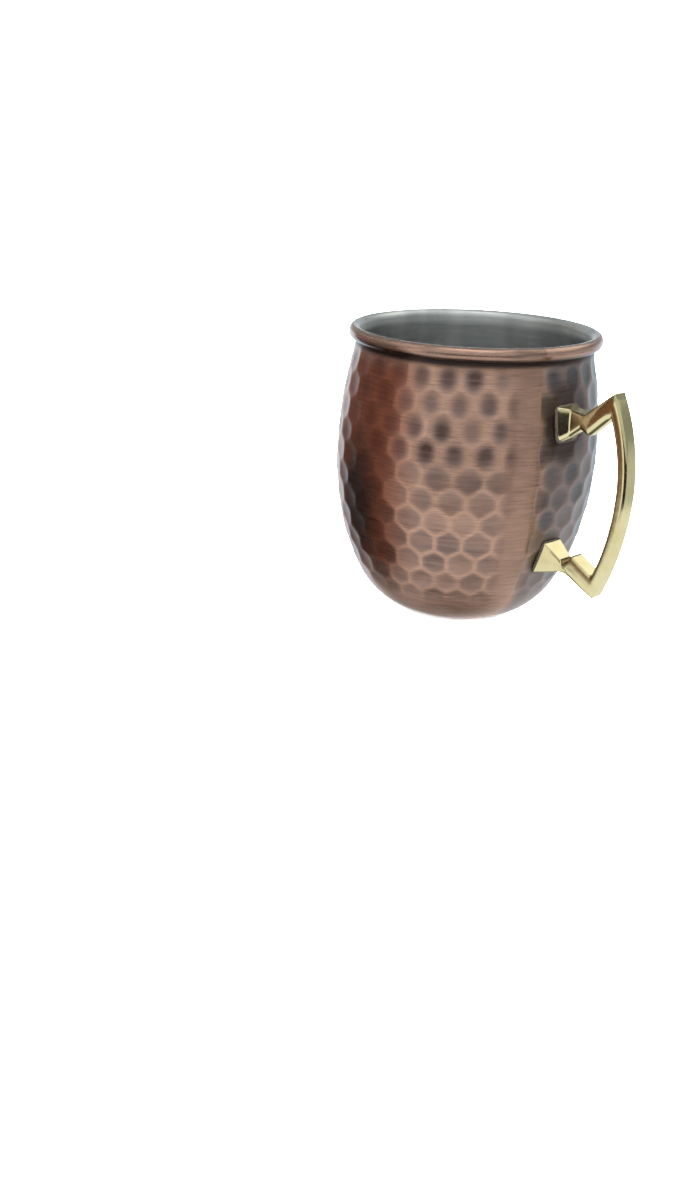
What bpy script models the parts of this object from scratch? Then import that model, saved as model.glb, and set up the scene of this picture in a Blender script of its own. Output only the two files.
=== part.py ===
"""A hammered copper mug with a steel liner and a cast brass handle.

The origin is the middle of the flat base, +Z is up and the handle points along +X. The copper shell is one
sheet, rolled outwards at its mouth into a bead. The steel liner nests inside it. The handle is one casting, held
by a brazed joint under each foot. Nothing on the mug moves.
"""

import math

import bmesh
import bpy

MM = 0.001

# The mug's outer form: a barrel that is widest a little above half its height.
HEIGHT = 99.2 * MM
BELLY_RADIUS = 46.1 * MM
BELLY_Z = 52.6 * MM
UPPER_WALL_ARC = 155.0 * MM
LOWER_REACH = 54.7 * MM
LOWER_FALL = 1.74
LOWER_TUCK = 3.93

# The two sheets. The gap keeps the copper and the steel, which touch on the real mug, apart.
COPPER_SHEET = 0.4 * MM
STEEL_SHEET = 0.4 * MM
CLEARANCE = 0.3 * MM

# The bead at the mouth: the copper rolled outwards into an oval.
BEAD_RADIUS = 41.5 * MM
BEAD_HALF_WIDTH = 1.45 * MM
BEAD_HALF_HEIGHT = 2.2 * MM
BEAD_START = math.radians(200)
BEAD_END = math.radians(-105)
BEAD_POINTS = 15
NECK_Z = HEIGHT - 4.6 * MM
LINER_TOP_Z = HEIGHT - 1.2 * MM

# Turned shapes.
TURN_STEPS = 48
UPPER_WALL_POINTS = 7
LOWER_WALL_POINTS = 13

# The handle, in the plane through the mug's axis. Each point is (distance from the axis, height).
BAR_HALF_WIDTH = 2.5 * MM
BAR_ROUNDING = 0.7 * MM
GRIP_CROWN = (71.5 * MM, 56.5 * MM)
GRIP_DEPTH = 3.5 * MM
OUTER_BOW_UPPER = 62.0 * MM
OUTER_BOW_LOWER = 80.0 * MM
INNER_BOW_UPPER = 55.0 * MM
INNER_BOW_LOWER = 80.0 * MM
BOW_POINTS = 7
UPPER_TIP = (62.5 * MM, 88.4 * MM)
LOWER_TIP = (64.3 * MM, 23.0 * MM)
UPPER_CROTCH = (62.3 * MM, 81.2 * MM)
LOWER_CROTCH = (63.2 * MM, 28.6 * MM)
UPPER_WAIST_TOP = (52.0 * MM, 79.9 * MM)
UPPER_WAIST_BOTTOM = (51.2 * MM, 75.0 * MM)
UPPER_HEEL = (54.5 * MM, 73.5 * MM)
LOWER_WAIST_TOP = (50.6 * MM, 31.2 * MM)
LOWER_WAIST_BOTTOM = (52.2 * MM, 27.3 * MM)
LOWER_HEEL = (54.8 * MM, 33.5 * MM)

# Each foot: its top and bottom where they reach the wall, as the handle's own points are given.
UPPER_FOOT = ((43.4 * MM, 81.0 * MM), (45.1 * MM, 69.8 * MM))
LOWER_FOOT = ((44.5 * MM, 35.3 * MM), (41.8 * MM, 24.0 * MM))
FOOT_HALF_WIDTH = 4.1 * MM
FLANK_RADIUS = 3.2 * MM
FLANK_INNER_HALF_WIDTH = 2.2 * MM
FOOT_FACE_EASE = 0.15 * MM
FOOT_DEPTH_IN_WALL = 3.0 * MM

# The brazed joint under each foot: a thin pad that stops short of the foot's edge.
BRAZE_THICKNESS = 0.4 * MM
BRAZE_INSET = 1.0 * MM
FOOT_STANDOFF = 2 * CLEARANCE + BRAZE_THICKNESS


def clear_scene():
    for obj in list(bpy.data.objects):
        bpy.data.objects.remove(obj, do_unlink=True)


def new_collection(name):
    collection = bpy.data.collections.new(name)
    bpy.context.scene.collection.children.link(collection)
    return collection


def new_material(name, colour, roughness, metallic=1.0):
    material = bpy.data.materials.new(name)
    material.use_nodes = True
    shader = material.node_tree.nodes["Principled BSDF"]
    shader.inputs["Base Color"].default_value = (*colour, 1.0)
    shader.inputs["Roughness"].default_value = roughness
    shader.inputs["Metallic"].default_value = metallic
    material.diffuse_color = (*colour, 1.0)
    return material


def shade_round(mesh):
    mesh.shade_smooth()
    mesh.set_sharp_from_angle(angle=math.radians(35))


def wall_radius(z):
    """The outer radius of the mug's wall at this height."""
    if z >= BELLY_Z:
        rise = z - BELLY_Z
        return BELLY_RADIUS - UPPER_WALL_ARC + math.sqrt(UPPER_WALL_ARC**2 - rise**2)
    fall = (BELLY_Z - z) / LOWER_REACH
    return BELLY_RADIUS * (1 - fall**LOWER_FALL) ** (1 / LOWER_TUCK)


def wall_slope(z):
    """How fast the outer radius grows with height."""
    step = 0.01 * MM
    low = max(z - step, 0.0)
    return (wall_radius(low + 2 * step) - wall_radius(low)) / (2 * step)


def wall_point(z, outwards):
    """The point this far outwards from the wall's outer surface, along its normal; inwards is negative."""
    slope = wall_slope(z)
    length = math.hypot(1.0, slope)
    return wall_radius(z) + outwards / length, z - outwards * slope / length


def wall_heights(low, high):
    """Heights from high down to low, closer together where the wall turns under towards the base."""
    heights = []
    if high > BELLY_Z:
        bottom = max(low, BELLY_Z)
        for i in range(UPPER_WALL_POINTS):
            heights.append(high + (bottom - high) * i / UPPER_WALL_POINTS)
        high = bottom
    if low < BELLY_Z:
        for i in range(LOWER_WALL_POINTS + 1):
            fraction = 1 - i / LOWER_WALL_POINTS
            heights.append(low + (high - low) * fraction**1.8)
    return heights


def cup_profile(top_z, outwards):
    """The mid-line of a cup's wall and floor, from its top down to the middle of its base."""
    profile = []
    for z in wall_heights(0.0, top_z):
        radius, height = wall_point(z, outwards)
        if height > -outwards:
            profile.append((radius, height))
    floor_edge, _ = wall_point(0.0, outwards)
    floor_z = -outwards
    profile.append((min(floor_edge, profile[-1][0] - 0.3 * MM), floor_z))
    profile.append((0.0, floor_z))
    return profile


def bead_profile():
    """The mid-line of the rolled bead, from its free end under the roll to where it meets the wall."""
    half_width = BEAD_HALF_WIDTH - COPPER_SHEET / 2
    half_height = BEAD_HALF_HEIGHT - COPPER_SHEET / 2
    middle_z = HEIGHT - BEAD_HALF_HEIGHT
    profile = []
    for i in range(BEAD_POINTS):
        turn = BEAD_END + (BEAD_START - BEAD_END) * i / (BEAD_POINTS - 1)
        profile.append((BEAD_RADIUS + half_width * math.cos(turn), middle_z + half_height * math.sin(turn)))
    return profile


def link_profile(name, profile, collection):
    """A mesh object that holds one open line of edges in the XZ plane."""
    mesh = bpy.data.meshes.new(name)
    points = [(radius, 0.0, z) for radius, z in profile]
    edges = [(i, i + 1) for i in range(len(points) - 1)]
    mesh.from_pydata(points, edges, [])
    obj = bpy.data.objects.new(name, mesh)
    collection.objects.link(obj)
    return obj


def turn(obj, angle=math.tau, steps=TURN_STEPS):
    screw = obj.modifiers.new("Turn", "SCREW")
    screw.axis = "Z"
    screw.angle = angle
    screw.steps = steps
    screw.render_steps = steps
    screw.use_merge_vertices = True
    screw.merge_threshold = 0.00001
    screw.use_smooth_shade = True


def thicken(obj, thickness):
    solidify = obj.modifiers.new("Sheet", "SOLIDIFY")
    solidify.thickness = thickness
    solidify.offset = 0.0
    solidify.use_even_offset = True


def make_copper_shell(parts):
    profile = bead_profile() + cup_profile(NECK_Z, -COPPER_SHEET / 2)
    shell = link_profile("copper_shell", profile, parts)
    turn(shell)
    thicken(shell, COPPER_SHEET)
    shell.data.materials.append(new_material("antique_copper", (0.36, 0.19, 0.13), 0.34))


def make_steel_liner(parts):
    """The inner cup, whose straight collar stands up inside the bead."""
    profile = cup_profile(NECK_Z, -(COPPER_SHEET + CLEARANCE + STEEL_SHEET / 2))
    profile.insert(0, (profile[0][0], LINER_TOP_Z))
    liner = link_profile("steel_liner", profile, parts)
    turn(liner)
    thicken(liner, STEEL_SHEET)
    liner.data.materials.append(new_material("brushed_steel", (0.42, 0.43, 0.42), 0.3))


def bow(start_z, end_z, crown, upper_arc, lower_arc):
    """Points along the bowed grip: two arcs, one above its crown and one below, that share a tangent there."""
    points = []
    for i in range(2 * BOW_POINTS + 1):
        z = start_z + (end_z - start_z) * i / (2 * BOW_POINTS)
        arc = upper_arc if z > crown[1] else lower_arc
        points.append((crown[0] - arc + math.sqrt(arc**2 - (z - crown[1]) ** 2), z))
    return points


def run_into_wall(waist, foot_point):
    """Where the line from the waist through the foot's edge ends, inside the wall."""
    reach = (foot_point[0] - FOOT_DEPTH_IN_WALL - waist[0]) / (foot_point[0] - waist[0])
    return waist[0] + (foot_point[0] - waist[0]) * reach, waist[1] + (foot_point[1] - waist[1]) * reach


def handle_outline():
    """The bar's outline: down its outer side from the upper foot, then back up the side that the fingers meet."""
    inner_crown = (GRIP_CROWN[0] - GRIP_DEPTH, GRIP_CROWN[1])
    outer = bow(UPPER_TIP[1], LOWER_TIP[1], GRIP_CROWN, OUTER_BOW_UPPER, OUTER_BOW_LOWER)
    inner = bow(LOWER_CROTCH[1], UPPER_CROTCH[1], inner_crown, INNER_BOW_UPPER, INNER_BOW_LOWER)
    return [
        run_into_wall(UPPER_WAIST_TOP, UPPER_FOOT[0]),
        UPPER_WAIST_TOP,
        *outer,
        LOWER_WAIST_BOTTOM,
        run_into_wall(LOWER_WAIST_BOTTOM, LOWER_FOOT[1]),
        run_into_wall(LOWER_WAIST_TOP, LOWER_FOOT[0]),
        LOWER_WAIST_TOP,
        LOWER_HEEL,
        *inner,
        UPPER_HEEL,
        UPPER_WAIST_BOTTOM,
        run_into_wall(UPPER_WAIST_BOTTOM, UPPER_FOOT[1]),
    ]


def plate(name, outline, half_depth, rounding, collection):
    """A flat outline, drawn in its own XY plane and extruded both ways along its Z, as a mesh object."""
    curve = bpy.data.curves.new(name, "CURVE")
    curve.dimensions = "2D"
    curve.fill_mode = "BOTH"
    curve.extrude = half_depth - rounding
    curve.bevel_depth = rounding
    curve.bevel_resolution = 2
    curve.offset = -rounding
    spline = curve.splines.new("POLY")
    spline.points.add(len(outline) - 1)
    for point, (across, along) in zip(spline.points, outline):
        point.co = (across, along, 0.0, 1.0)
    spline.use_cyclic_u = True
    guide = bpy.data.objects.new(name + "_outline", curve)
    collection.objects.link(guide)
    bpy.context.view_layer.update()
    evaluated = guide.evaluated_get(bpy.context.evaluated_depsgraph_get())
    mesh = bpy.data.meshes.new_from_object(evaluated)
    bpy.data.objects.remove(guide, do_unlink=True)
    mesh.name = name
    weld(mesh)
    obj = bpy.data.objects.new(name, mesh)
    collection.objects.link(obj)
    return obj


def weld(mesh):
    solid = bmesh.new()
    solid.from_mesh(mesh)
    bmesh.ops.remove_doubles(solid, verts=solid.verts, dist=0.000001)
    bmesh.ops.recalc_face_normals(solid, faces=solid.faces)
    solid.to_mesh(mesh)
    solid.free()


def hide_as_cutter(obj):
    obj.hide_render = True
    obj.display_type = "WIRE"


def add_boolean(obj, cutter, operation):
    boolean = obj.modifiers.new(operation.title() + " " + cutter.name, "BOOLEAN")
    boolean.operation = operation
    boolean.solver = "EXACT"
    boolean.object = cutter


def flare_plan():
    """The foot seen from above, measured out from the wall: wide at the wall, with a hollow flank on each side."""
    middle = FLANK_INNER_HALF_WIDTH + FLANK_RADIUS
    start = math.acos((middle - FOOT_HALF_WIDTH) / FLANK_RADIUS)
    side = [(-FOOT_DEPTH_IN_WALL - 1.0 * MM, FOOT_HALF_WIDTH)]
    arc_points = 6
    for i in range(arc_points + 1):
        turned = start * (1 - i / arc_points)
        out = FLANK_RADIUS * (1 - math.sin(turned))
        side.append((out + FOOT_STANDOFF, middle - FLANK_RADIUS * math.cos(turned)))
    side.append((FLANK_RADIUS + FOOT_STANDOFF + 1.5 * MM, FLANK_INNER_HALF_WIDTH))
    mirrored = [(out, -half_width) for out, half_width in reversed(side)]
    return side + mirrored


def foot_side(top, bottom, waist_top, waist_bottom):
    """The foot seen from the side. Its faces cross the bar's at a slight angle, so no two faces are flush."""
    inner_top = run_into_wall(waist_top, top)
    inner_bottom = run_into_wall(waist_bottom, bottom)
    return [
        (inner_top[0], inner_top[1] + 2 * FOOT_FACE_EASE),
        (waist_top[0], waist_top[1] - FOOT_FACE_EASE),
        (waist_bottom[0], waist_bottom[1] + FOOT_FACE_EASE),
        (inner_bottom[0], inner_bottom[1] - 2 * FOOT_FACE_EASE),
    ]


def make_foot_flare(name, foot, waist_top, waist_bottom, helpers):
    """The wide root of one foot: its side view and its plan, each a plate, intersected."""
    top, bottom = foot
    side = plate(name, foot_side(top, bottom, waist_top, waist_bottom), 6.0 * MM, 0.0, helpers)
    side.rotation_euler = (math.radians(90), 0.0, 0.0)
    plan = plate(name + "_plan", flare_plan(), 14.0 * MM, 0.0, helpers)
    middle_z = (top[1] + bottom[1]) / 2
    plan.location = (wall_radius(middle_z), 0.0, middle_z)
    plan.rotation_euler = (0.0, math.atan(wall_slope(middle_z)), 0.0)
    add_boolean(side, plan, "INTERSECT")
    hide_as_cutter(side)
    hide_as_cutter(plan)
    return side


def make_wall_cutter(helpers):
    """A solid that reaches the feet's standing-off distance outside the wall."""
    profile = [(0.0, HEIGHT)]
    for z in wall_heights(2.0 * MM, HEIGHT):
        profile.append(wall_point(z, FOOT_STANDOFF))
    profile.append((0.0, profile[-1][1]))
    cutter = link_profile("wall_cutter", profile, helpers)
    turn(cutter)
    hide_as_cutter(cutter)
    return cutter


def make_handle(parts, helpers):
    handle = plate("brass_handle", handle_outline(), BAR_HALF_WIDTH, BAR_ROUNDING, parts)
    handle.rotation_euler = (math.radians(90), 0.0, 0.0)
    upper = make_foot_flare("upper_flare", UPPER_FOOT, UPPER_WAIST_TOP, UPPER_WAIST_BOTTOM, helpers)
    lower = make_foot_flare("lower_flare", LOWER_FOOT, LOWER_WAIST_TOP, LOWER_WAIST_BOTTOM, helpers)
    add_boolean(handle, upper, "UNION")
    add_boolean(handle, lower, "UNION")
    add_boolean(handle, make_wall_cutter(helpers), "DIFFERENCE")
    shade_round(handle.data)
    handle.data.materials.append(new_material("polished_brass", (0.72, 0.66, 0.38), 0.12))


def make_braze(name, foot, parts):
    """The thin curved pad between the wall and one foot."""
    top, bottom = foot
    outwards = CLEARANCE + BRAZE_THICKNESS / 2
    high = top[1] - BRAZE_INSET
    low = bottom[1] + BRAZE_INSET
    points = 5
    profile = [wall_point(high + (low - high) * i / (points - 1), outwards) for i in range(points)]
    half_angle = (FOOT_HALF_WIDTH - BRAZE_INSET) / wall_radius((high + low) / 2)
    pad = link_profile(name, profile, parts)
    pad.rotation_euler = (0.0, 0.0, -half_angle)
    turn(pad, angle=2 * half_angle, steps=4)
    thicken(pad, BRAZE_THICKNESS)
    return pad


def make_brazes(parts):
    filler = new_material("braze_filler", (0.3, 0.22, 0.12), 0.45)
    for name, foot in (("upper_braze", UPPER_FOOT), ("lower_braze", LOWER_FOOT)):
        make_braze(name, foot, parts).data.materials.append(filler)


def main():
    clear_scene()
    parts = new_collection("copper_mug")
    helpers = new_collection("cutters")
    make_copper_shell(parts)
    make_steel_liner(parts)
    make_handle(parts, helpers)
    make_brazes(parts)


main()
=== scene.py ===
"""The looks of the copper mug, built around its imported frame.

The copper shell, the steel liner, the handle and the two brazed joints each get a finer piece that stands
for the CAD node. Lengths are in metres, and angles round the mug start at the handle, which points along +X.
"""

import math

import bmesh
import bpy
import numpy as np
from mathutils import Matrix, Vector

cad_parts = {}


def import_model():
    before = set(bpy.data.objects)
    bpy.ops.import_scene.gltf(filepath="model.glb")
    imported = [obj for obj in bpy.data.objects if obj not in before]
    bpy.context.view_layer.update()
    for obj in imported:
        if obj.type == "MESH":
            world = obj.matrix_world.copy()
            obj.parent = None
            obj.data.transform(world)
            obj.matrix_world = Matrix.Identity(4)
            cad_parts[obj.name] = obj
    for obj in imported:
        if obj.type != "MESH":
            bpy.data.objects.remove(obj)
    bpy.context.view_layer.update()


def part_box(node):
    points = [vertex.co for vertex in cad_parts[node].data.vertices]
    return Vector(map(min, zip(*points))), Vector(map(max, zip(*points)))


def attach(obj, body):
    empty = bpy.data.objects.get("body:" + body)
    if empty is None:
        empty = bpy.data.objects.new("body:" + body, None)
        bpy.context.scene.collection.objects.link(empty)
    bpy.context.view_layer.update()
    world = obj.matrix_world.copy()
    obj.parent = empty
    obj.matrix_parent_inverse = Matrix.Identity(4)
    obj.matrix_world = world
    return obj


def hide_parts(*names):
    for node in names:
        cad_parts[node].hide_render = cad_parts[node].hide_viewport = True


MM = 0.001
SEED = 7

# The mug's outer form, as in the CAD source. Its height and widest radius are read from the frame.
BELLY_Z = 52.6 * MM
UPPER_WALL_ARC = 155.0 * MM
LOWER_REACH = 54.7 * MM
LOWER_FALL = 1.74
LOWER_TUCK = 3.93
NECK_DROP = 4.6 * MM
BASE_FLAT_RADIUS = 19.0 * MM
BASE_BLEND_Z = 1.5 * MM

# The sheets. The last two are the depths of the liner's outer and inner faces under the mug's outer form.
COPPER_THICKNESS = 0.92 * MM
LINER_OUTSIDE = 0.98 * MM
LINER_INSIDE = 1.3 * MM

# The rolled bead at the mouth, an oval tube of thin sheet. Angles round its section start at its outer side.
BEAD_RADIUS = 41.25 * MM
BEAD_HALF_WIDTH = 1.7 * MM
BEAD_HALF_HEIGHT = 2.15 * MM
BEAD_TOP_GAP = 0.1 * MM
BEAD_SHEET = 0.4 * MM
BEAD_ROOT = math.radians(196)
BEAD_END = math.radians(-108)

# The liner's lip, which folds out over the bead.
LIP_ROOT = math.radians(178)
LIP_END = math.radians(84)
LIP_DEPTH = 0.48 * MM
LIP_HEIGHT = 0.09 * MM
LIP_GAP = 0.02 * MM
LIP_FOOT_DROP = 3.6 * MM

# The liner's floor: rings at these shares of its corner's radius, and how far each lies below the corner.
LINER_WALL_END = 3.0 * MM
LINER_FLOOR_DROP = 0.6 * MM
LINER_FLOOR_SHARES = (0.93, 0.84, 0.7, 0.5, 0.25, 0.08)
LINER_FLOOR_DROPS = (0.0, 0.35 * MM, 0.5 * MM, 0.55 * MM, 0.55 * MM, 0.55 * MM)

# The hammered cups, in staggered rows. NO_CUP is a level so far out that it leaves the wall plain.
CUPS_PER_ROW = 30
CUP_STEP = math.tau / CUPS_PER_ROW
CUP_PHASE = math.radians(4.7)
TOP_ROW_Z = 89.2 * MM
ROW_PITCH = 7.6 * MM
ROWS = 12
CUP_DEPTH = 0.60 * MM
CUP_DEPTH_SPREAD = 0.09
CUP_SHIFT = 0.18 * MM
CREST_DROP = 0.12 * MM
CREST_ROUNDING = 0.06 * MM
NO_CUP = 3.0 * MM
LINER_CUP_SHARE = 0.35

# Where the hammering fades out, at the neck and at the base: from no cups to full cups.
HAMMERED_BELOW = (94.0 * MM, 91.5 * MM)
HAMMERED_ABOVE = (9.0 * MM, 19.0 * MM)

# How a cup is stained: all of it low on the wall, and an oval core high on the wall. Strengths vary by cup.
STAIN_STRENGTHS = (0.5, 1.3)
STAIN_EDGE = (0.1 * MM, 1.2 * MM)
CORE_EDGE = (5.4 * MM, 0.8 * MM)
CORE_SQUEEZE = (1.2, 0.9)
CORE_STRENGTH = 1.75
CORES_ABOVE = (57.0 * MM, 68.0 * MM)

# The upright seam beside the handle, and the smoothed band next to it, where the hammering fades.
SEAM_ANGLE = math.radians(-13.8)
BAND_ANGLES = (math.radians(-32), math.radians(-23))
BAND_SMOOTHING = 0.88

# Painted dark reflection of each foot on the wall: (height, upward squeeze, outer reach, inner reach,
# strength).
UPPER_FOOT_REFLECTION = (75.4 * MM, 0.85, 13.5 * MM, 7.5 * MM, 0.98)
LOWER_FOOT_REFLECTION = (29.6 * MM, 1.0, 9.0 * MM, 4.5 * MM, 0.6)

# Other dark marks: painted shade in the crease under the bead, soot on the smoothed band, a darker line along
# the seam and a painted shadow in one patch on the left. Angles are in degrees, counted from the handle.
CREASE_SHADE_DROPS = (2.6 * MM, 0.7 * MM)
CREASE_SHADE_TOP = 0.2 * MM
BEAD_SHADE_DROPS = (0.3 * MM, 1.9 * MM)
BEAD_OUTSIDE = 0.9 * MM
BAND_SOOT = 0.34
BAND_SOOT_ANGLES = (-31.0, -26.0)
BAND_SOOT_HEIGHTS = (10.0 * MM, 30.0 * MM)
SEAM_DARKENING = 0.3
SEAM_LINE = -13.4
SEAM_LINE_EDGE = (0.8, 0.2)
SEAM_DARKENING_HEIGHTS = (18.0 * MM, 26.0 * MM)
PAINTED_SHADOW = 0.9
PATCH_PLACE = (-97.0, 44.0 * MM)
PATCH_SIZE = (14.0, 24.0 * MM)
PATCH_EDGE = (1.35, 0.3)

# Painted reflections in the copper's colour, grey round the handle and red on the left: (where it sets in,
# where it ends). The bead gets BEAD_GREY of the same grey all round.
GREY_REFLECTION_ANGLES = ((-17.0, -7.0), (80.0, 50.0))
RED_REFLECTION_ANGLES = ((-60.0, -84.0), (-122.0, -108.0))
RED_REFLECTION_HEIGHTS = ((12.0 * MM, 28.0 * MM), (96.0 * MM, 88.0 * MM))
BEAD_GREY = 0.2

# Painted shade on the liner's sides: none at this angle, setting in and full this far round from there.
LINER_UNSHADED_ANGLE = math.radians(134)
LINER_SHADE_ANGLES = (math.radians(25), math.radians(75))

# How finely the turned pieces are divided.
SHELL_COLUMNS = 420
SHELL_STEP = 0.68 * MM
LINER_COLUMNS = 288
LINER_STEP = 1.3 * MM
PLAIN_STEP = 12 * MM
BASE_RINGS = 8
INNERMOST_RADIUS = 2.5 * MM
POLE_RADIUS = 3 * MM

# The handle, in the plane through the mug's axis. Each point is (distance from the axis, height).
BAR_HALF_WIDTH = 2.8 * MM
GRIP_CROWN = (71.48 * MM, 56.5 * MM)
GRIP_DEPTH = 3.5 * MM
OUTER_BOW_ARCS = (62.0 * MM, 92.0 * MM)
INNER_BOW_ARCS = (55.0 * MM, 80.0 * MM)
UPPER_TIP = (62.7 * MM, 89.1 * MM)
LOWER_TIP = (64.9 * MM, 21.9 * MM)
UPPER_CROTCH = (62.3 * MM, 81.2 * MM)
LOWER_CROTCH = (63.3 * MM, 29.8 * MM)
UPPER_WAIST = ((52.0 * MM, 79.9 * MM), (51.2 * MM, 75.0 * MM))
LOWER_WAIST = ((52.2 * MM, 27.3 * MM), (50.6 * MM, 31.2 * MM))
UPPER_HEEL = (54.5 * MM, 73.5 * MM)
LOWER_HEEL = (54.8 * MM, 33.9 * MM)
UPPER_FOOT = ((43.4 * MM, 81.0 * MM), (45.1 * MM, 69.8 * MM))
LOWER_FOOT = ((41.8 * MM, 24.0 * MM), (44.5 * MM, 35.3 * MM))
UPPER_FOOT_HALF_WIDTHS = (5.3 * MM, 4.9 * MM)
LOWER_FOOT_HALF_WIDTHS = (5.2 * MM, 4.2 * MM)
UPPER_FLARE_REACH = 2.6 * MM
LOWER_FLARE_REACH = 8.0 * MM
WRAP_REACH = 2.9 * MM

# Section of the handle's bar. Roundings are at its outer face and at the fingers' side. The sides are crowned,
# and a section that crosses the bar at a slant has longer roundings, up to 1 / STEEPEST_CROSSING times as long.
GRIP_ROUNDINGS = (0.9 * MM, 0.4 * MM)
UPPER_ROUNDINGS = (0.45 * MM, 1.7 * MM)
LOWER_ROUNDINGS = (0.6 * MM, 0.4 * MM)
GRIP_BEGINS = (59.5 * MM, 63.0 * MM)
SIDE_CROWN = 0.05
CROWNED_LENGTH = 4.0 * MM
STEEPEST_CROSSING = 0.5
FACE_POINTS = 5
ARC_POINTS = 5
SIDE_POINTS = 7

# The handle's runs, from the upper foot to the lower one: foot, step, arm, grip, arm, step, foot. The shares
# place the points along a run. The trims, in millimetres, are what each corner takes off the runs beside it.
GRIP_RUN = 3
ARM_STEP_SHARE = 0.12
FOOT_SHARES = (0.0, 0.015, 0.10, 0.14, 0.165, 0.18, 0.2, 0.23, 0.26, 0.3, 0.335, 0.36, 0.38)
FOOT_SHARES += (0.5, 0.75, 0.94, 1.0)
STEP_SHARES = (0.0, 0.1, 0.5, 0.9, 1.0)
ARM_SHARES = (0.0, 0.05, 0.2, 0.4, 0.6, 0.8, 0.95, 1.0)
GRIP_POINTS = 44
CORNER_POINTS = 7
OUTER_TRIMS = (0.0, 0.5, 0.3, 1.0, 1.2, 0.5, 2.2, 0.0)
INNER_TRIMS = (0.0, 0.45, 1.0, 0.5, 0.4, 0.7, 0.4, 0.0)

# The brazed seams: rings of a rounded square that follow the wall. Each is (distance out of the wall, distance
# past the foot's edge).
SEAM_RINGS = (
    (-0.5 * MM, 0.34 * MM),
    (-0.1 * MM, 0.36 * MM),
    (0.12 * MM, 0.3 * MM),
    (0.3 * MM, 0.12 * MM),
    (0.34 * MM, -0.6 * MM),
)
SEAM_POINTS = 36
SEAM_SQUARENESS = 0.28

# The camera, whose upright frame leaves white above and below the mug.
CAMERA_PLACE = Vector((237.1, -243.2, 150.7)) * MM
CAMERA_AIM = Vector((-27.2, -34.5, -4.9)) * MM
CAMERA_ROLL = math.radians(1.67)
CAMERA_LENS = 28.83

# The floor, and how bright the world is to everything but reflections.
FLOOR_SIZE = 60.0
WORLD_STRENGTH = 8.0

# The direction from the mug to the studio's front. The studio's angles round the mug are counted from it.
STUDIO_FRONT = math.radians(-45.7)

# What the mug reflects of a far studio, painted one over another: (angles round the mug, angles above the
# horizon, tint). The angles are low end, high end and softness, in degrees, and 400 is past every end.
STUDIO_SHADES = (
    ((-400, 400, 1), (-19, 130, 3), (0.60, 0.61, 0.62)),
    ((-45, 45, 20), (58, 84, 5), (1.8, 1.75, 1.7)),
    ((140, 400, 12), (-27, 50, 6), (0.80, 1.0, 1.12)),
    ((-400, -132, 10), (-40, 50, 8), (1.0, 1.22, 1.38)),
    ((42, 400, 12), (4, 29, 6), (0.26, 0.27, 0.285)),
    ((-400, -52, 12), (4, 29, 6), (0.26, 0.27, 0.285)),
    ((-400, 400, 1), (-130, -63, 12), (0.10, 0.10, 0.105)),
    ((95, 150, 14), (26, 75, 8), (1.3, 1.27, 1.2)),
    ((152, 215, 10), (24, 84, 6), (0.16, 0.17, 0.18)),
    ((-215, -95, 12), (24, 84, 6), (0.16, 0.17, 0.18)),
    ((-180, -100, 14), (-130, -42, 8), (0.33, 0.33, 0.34)),
    ((-128, -73, 5), (-19, 18, 4), (0.20, 0.09, 0.045)),
    ((-70, -45, 4), (-19, 18, 4), (1.0, 0.97, 0.92)),
    ((-45, 40, 5), (-20, 3, 3), (0.02, 0.016, 0.016)),
)

# Two dark red cards close by on the left, one above the other, seen only as reflections.
CARD_RADIUS = 66.0 * MM
CARD_COLUMNS = 24
CARD_SOFT_SHARE = 0.28
HIGH_CARD_HEIGHTS = (-10.0 * MM, 104.0 * MM)
HIGH_CARD_ANGLES = (math.radians(-96), math.radians(-31))
LOW_CARD_HEIGHTS = (-60.0 * MM, -10.0 * MM)
LOW_CARD_ANGLES = (math.radians(-96), math.radians(-50))
CARD_LOW_TINT = (0.003, 0.001, 0.0007)
CARD_HIGH_TINT = (0.024, 0.005, 0.002)


def smoothstep(low, high, value):
    """0 below low, 1 above high, and a smooth rise between them."""
    share = np.clip((value - low) / (high - low), 0.0, 1.0)
    return share * share * (3.0 - 2.0 * share)


def between(rise, fall, value):
    """1 past the end of rise and before the start of fall, and a smooth change over each of them."""
    return smoothstep(*rise, value) * smoothstep(*fall, value)


# --------------------------------------------------------------------------------------------------
# The mug's form
# --------------------------------------------------------------------------------------------------


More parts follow.
